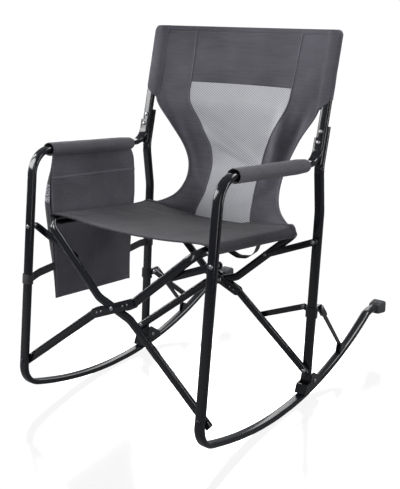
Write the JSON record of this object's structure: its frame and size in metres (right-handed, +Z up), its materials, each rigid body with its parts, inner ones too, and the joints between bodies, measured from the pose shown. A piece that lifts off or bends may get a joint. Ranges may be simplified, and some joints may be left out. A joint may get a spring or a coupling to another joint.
{
  "type": "folding camp rocking chair",
  "caption": "Folding camp rocking chair: flat-oval tube side frames on rockers, crossed scissor bars, sling seat and mesh-panel back, padded arms, side pocket and folding rear tails.",
  "frame": {"origin": "on the floor, under the middle of the bounding box", "axes": "+Z up; the sitter faces -Y; +X is the side without the pocket"},
  "size_m": [0.674, 1.0578, 1.0536],
  "materials": {
    "frame": "semi-gloss black powder coat",
    "rivet": "plain steel, dull",
    "rubber": "matte dark grey",
    "cloth": "woven polyester, dark grey"
  },
  "bodies": {
    "left_side": {"left_side_tube": "frame", "left_rear_leg": "frame", "left_back_post": "frame", "left_arm_rivet": "rivet", "left_post_rivet": "rivet", "left_front_pin": "rivet", "left_rear_pin": "rivet", "left_front_brace_rivet": "rivet", "left_rear_brace_rivet": "rivet", "left_saddle": "frame", "left_tail_pin": "rivet", "left_arm_sleeve": "cloth", "back_sling": "cloth", "side_pocket": "cloth", "pocket_front_strap": "cloth", "pocket_rear_strap": "cloth"},
    "right_seat_frame": {"right_seat_tube": "frame", "front_lower_bar": "frame", "front_hub_front_plate": "frame", "front_hub_back_plate": "frame", "front_hub_pivot": "rivet"},
    "left_seat_frame": {"left_seat_tube": "frame", "rear_lower_bar": "frame", "rear_hub_front_plate": "frame", "rear_hub_back_plate": "frame", "rear_hub_pivot": "rivet", "seat_sling": "cloth", "pull_strap": "cloth"},
    "right_side": {"right_side_tube": "frame", "right_rear_leg": "frame", "right_back_post": "frame", "right_arm_rivet": "rivet", "right_post_rivet": "rivet", "right_front_pin": "rivet", "right_rear_pin": "rivet", "right_front_brace_rivet": "rivet", "right_rear_brace_rivet": "rivet", "right_saddle": "frame", "right_tail_pin": "rivet", "right_arm_sleeve": "cloth"},
    "left_collar_slider": {"left_collar": "frame", "left_collar_pin": "rivet", "left_tail_link_pin": "rivet"},
    "left_collar_arm": {"left_collar_link": "frame"},
    "left_tail_strut": {"left_tail_link": "frame"},
    "left_tail": {"left_rocker_tail": "frame", "left_tail_cap": "rubber", "left_tail_clevis": "frame"},
    "left_front_stay": {"left_front_brace": "frame"},
    "left_rear_stay": {"left_rear_brace": "frame"},
    "right_collar_slider": {"right_collar": "frame", "right_collar_pin": "rivet", "right_tail_link_pin": "rivet"},
    "right_collar_arm": {"right_collar_link": "frame"},
    "right_tail_strut": {"right_tail_link": "frame"},
    "right_tail": {"right_rocker_tail": "frame", "right_tail_cap": "rubber", "right_tail_clevis": "frame"},
    "right_front_stay": {"right_front_brace": "frame"},
    "right_rear_stay": {"right_rear_brace": "frame"}
  },
  "joints": [
    {"name": "fold", "type": "hinge", "parent": "left_side", "child": "right_seat_frame", "pos_m": [-0.31, -0.51773, 0.14705], "axis": [0, -0.9934, 0.1143], "range_deg": [0, 37.5], "deforming": ["seat_sling", "back_sling", "pocket_rear_strap", "pull_strap"]},
    {"name": "seat_cross", "type": "hinge", "parent": "right_seat_frame", "child": "left_seat_frame", "pos_m": [0, -0.48962, 0.36325], "axis": [0, -0.9934, 0.1143], "range_deg": [-75.22, 0]},
    {"name": "right_side_swing", "type": "hinge", "parent": "left_seat_frame", "child": "right_side", "pos_m": [0.31, -0.51773, 0.14705], "axis": [0, -0.9934, 0.1143], "range_deg": [0, 37.61]},
    {"name": "left_collar_slide", "type": "slide", "parent": "left_side", "child": "left_collar_slider", "axis": [0, 0.0785, 0.9969], "range_m": [0, 0.16959]},
    {"name": "left_collar_link_turn", "type": "hinge", "parent": "left_collar_slider", "child": "left_collar_arm", "pos_m": [-0.28, 0.03756, 0.27139], "axis": [0, -0.9934, 0.1143], "range_deg": [-59.64, 0]},
    {"name": "left_tail_link_turn", "type": "hinge", "parent": "left_collar_slider", "child": "left_tail_strut", "pos_m": [-0.31, 0.08788, 0.26155], "axis": [1, 0, 0], "range_deg": [-27.09, 0]},
    {"name": "left_tail_turn", "type": "hinge", "parent": "left_side", "child": "left_tail", "pos_m": [-0.31, 0.04088, 0.04555], "axis": [1, 0, 0], "range_deg": [0, 43.09]},
    {"name": "left_front_brace_turn", "type": "hinge", "parent": "left_side", "child": "left_front_stay", "pos_m": [-0.31, -0.46765, 0.53231], "axis": [0, -0.9934, 0.1143], "range_deg": [0, 93.46]},
    {"name": "left_rear_brace_turn", "type": "hinge", "parent": "left_side", "child": "left_rear_stay", "pos_m": [-0.31, 0.05338, 0.47236], "axis": [0, -0.9934, 0.1143], "range_deg": [0, 93.46]},
    {"name": "right_collar_slide", "type": "slide", "parent": "right_side", "child": "right_collar_slider", "axis": [0, 0.0785, 0.9969], "range_m": [0, 0.16959]},
    {"name": "right_collar_link_turn", "type": "hinge", "parent": "right_collar_slider", "child": "right_collar_arm", "pos_m": [0.28, 0.03756, 0.27139], "axis": [0, -0.9934, 0.1143], "range_deg": [0, 59.64]},
    {"name": "right_tail_link_turn", "type": "hinge", "parent": "right_collar_slider", "child": "right_tail_strut", "pos_m": [0.31, 0.08788, 0.26155], "axis": [1, 0, 0], "range_deg": [-27.09, 0]},
    {"name": "right_tail_turn", "type": "hinge", "parent": "right_side", "child": "right_tail", "pos_m": [0.31, 0.04088, 0.04555], "axis": [1, 0, 0], "range_deg": [0, 43.09]},
    {"name": "right_front_brace_turn", "type": "hinge", "parent": "right_side", "child": "right_front_stay", "pos_m": [0.31, -0.46765, 0.53231], "axis": [0, -0.9934, 0.1143], "range_deg": [-93.46, 0]},
    {"name": "right_rear_brace_turn", "type": "hinge", "parent": "right_side", "child": "right_rear_stay", "pos_m": [0.31, 0.05338, 0.47236], "axis": [0, -0.9934, 0.1143], "range_deg": [-93.46, 0]}
  ],
  "couplings": [
    {"joint": "seat_cross", "follows": "fold", "ratio": -2},
    {"joint": "right_side_swing", "follows": "fold", "ratio": 1},
    {"joint": "left_collar_slide", "follows": "fold", "m_per_rad": 0.25834},
    {"joint": "left_collar_link_turn", "follows": "fold", "ratio": -1.5857},
    {"joint": "left_tail_link_turn", "follows": "fold", "ratio": -0.72018},
    {"joint": "left_tail_turn", "follows": "fold", "ratio": 1.1455},
    {"joint": "left_front_brace_turn", "follows": "fold", "ratio": 2.4849},
    {"joint": "left_rear_brace_turn", "follows": "fold", "ratio": 2.4849},
    {"joint": "right_collar_slide", "follows": "fold", "m_per_rad": 0.25834},
    {"joint": "right_collar_link_turn", "follows": "fold", "ratio": 1.5857},
    {"joint": "right_tail_link_turn", "follows": "fold", "ratio": -0.72018},
    {"joint": "right_tail_turn", "follows": "fold", "ratio": 1.1455},
    {"joint": "right_front_brace_turn", "follows": "fold", "ratio": -2.4849},
    {"joint": "right_rear_brace_turn", "follows": "fold", "ratio": -2.4849}
  ]
}
